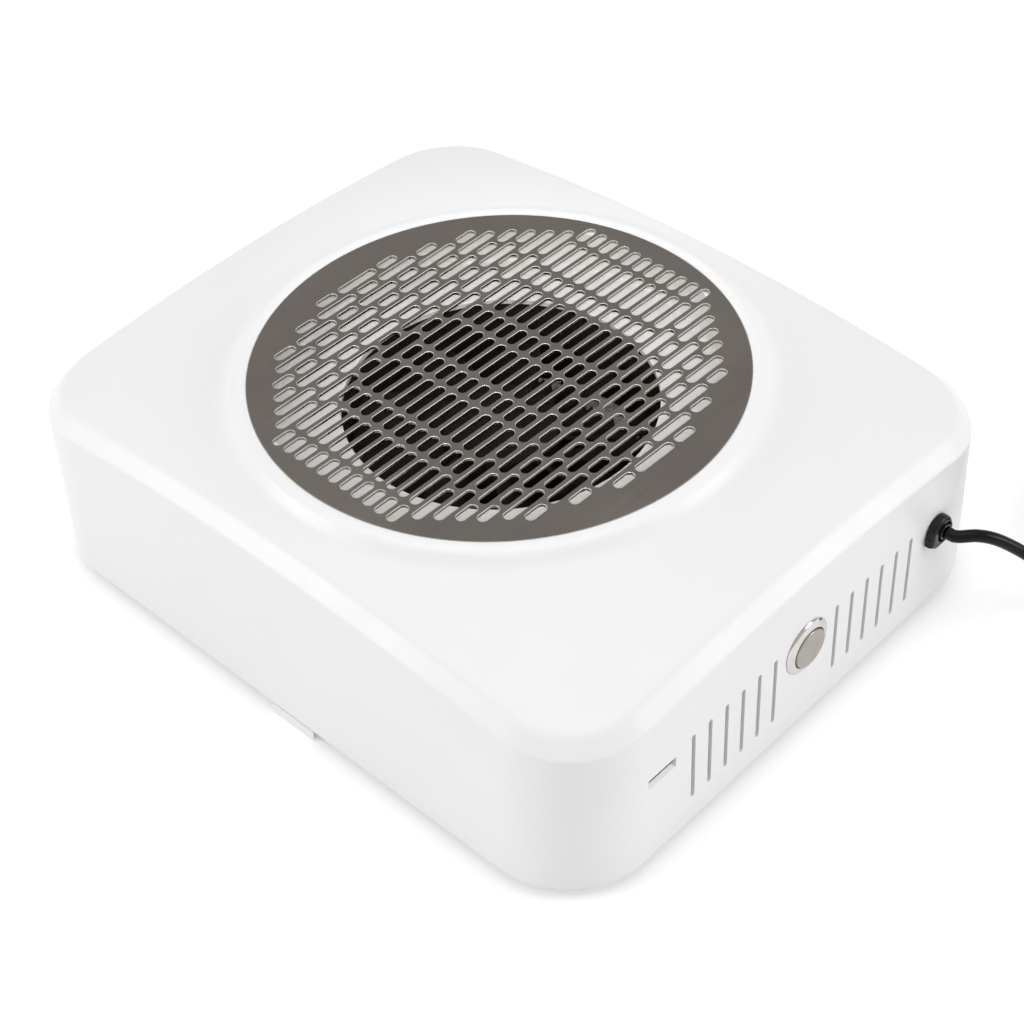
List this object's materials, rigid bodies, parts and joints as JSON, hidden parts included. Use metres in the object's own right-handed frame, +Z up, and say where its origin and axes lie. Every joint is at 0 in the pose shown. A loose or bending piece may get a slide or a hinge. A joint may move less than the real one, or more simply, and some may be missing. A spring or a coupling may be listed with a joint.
{
  "type": "nail dust collector",
  "caption": "Desktop nail dust collector: low white rounded housing with a round slotted steel grille over an axial fan, side vents, push button, filter hatch underneath and a mains cord",
  "frame": {"origin": "under the middle of the housing, on the surface the feet stand on", "axes": "+Z up; +X is the short-side wall with the button, the vents and the cord; +Y runs along that wall towards the cord; the hatch tab is on the -Y wall"},
  "size_m": [0.4043, 0.383, 0.0955],
  "materials": {
    "white_plastic": "satin gloss",
    "grille_steel": "satin",
    "polished_metal": "polished",
    "brushed_metal": "brushed",
    "black_plastic": "satin",
    "foot_rubber": "matte",
    "cord_black": "satin",
    "stator_copper": "satin",
    "contact_brass": "satin",
    "filter_paper": "matte"
  },
  "bodies": {
    "housing": {"base_plate": "white_plastic", "base_screw_1": "brushed_metal", "base_screw_2": "brushed_metal", "base_screw_3": "brushed_metal", "base_screw_4": "brushed_metal", "button_bezel": "polished_metal", "button_nut": "polished_metal", "button_spring": "brushed_metal", "cord_coil": "cord_black", "cord_free": "cord_black", "cord_strain_relief": "black_plastic", "cord_tail": "cord_black", "cord_tie": "cord_black", "fan_bearing_lower": "contact_brass", "fan_bearing_upper": "contact_brass", "fan_dish": "white_plastic", "fan_frame": "black_plastic", "fan_screw_1": "brushed_metal", "fan_screw_2": "brushed_metal", "fan_screw_3": "brushed_metal", "fan_screw_4": "brushed_metal", "fan_stator": "stator_copper", "foot_1": "foot_rubber", "foot_2": "foot_rubber", "foot_3": "foot_rubber", "foot_4": "foot_rubber", "hinge_pin": "brushed_metal", "housing_shell": "white_plastic", "lead_fan": "black_plastic", "lead_supply": "black_plastic", "plug_body": "black_plastic", "plug_pin_left": "polished_metal", "plug_pin_right": "polished_metal", "switch_base": "black_plastic", "switch_terminal_left": "contact_brass", "switch_terminal_right": "contact_brass"},
    "grille": {"grille_disc": "grille_steel"},
    "fan": {"fan_rotor": "black_plastic", "fan_shaft": "brushed_metal"},
    "button": {"button_cap": "brushed_metal"},
    "hatch": {"dust_hatch": "white_plastic", "filter_frame": "white_plastic", "filter_pleats": "filter_paper"}
  },
  "joints": [
    {"name": "grille_lift", "type": "slide", "parent": "housing", "child": "grille", "axis": [0, 0, 1], "range_m": [0, 0.04]},
    {"name": "fan_spin", "type": "hinge", "parent": "housing", "child": "fan", "pos_m": [0, 0, 0.055], "axis": [0, 0, 1], "continuous": true},
    {"name": "button_press", "type": "slide", "parent": "housing", "child": "button", "axis": [-1, 0, 0], "range_m": [0, 0.0018], "stiffness_N_per_m": 900},
    {"name": "hatch_swing", "type": "hinge", "parent": "housing", "child": "hatch", "pos_m": [0, 0.0712, 0.0088], "axis": [1, 0, 0], "range_deg": [0, 85]}
  ]
}
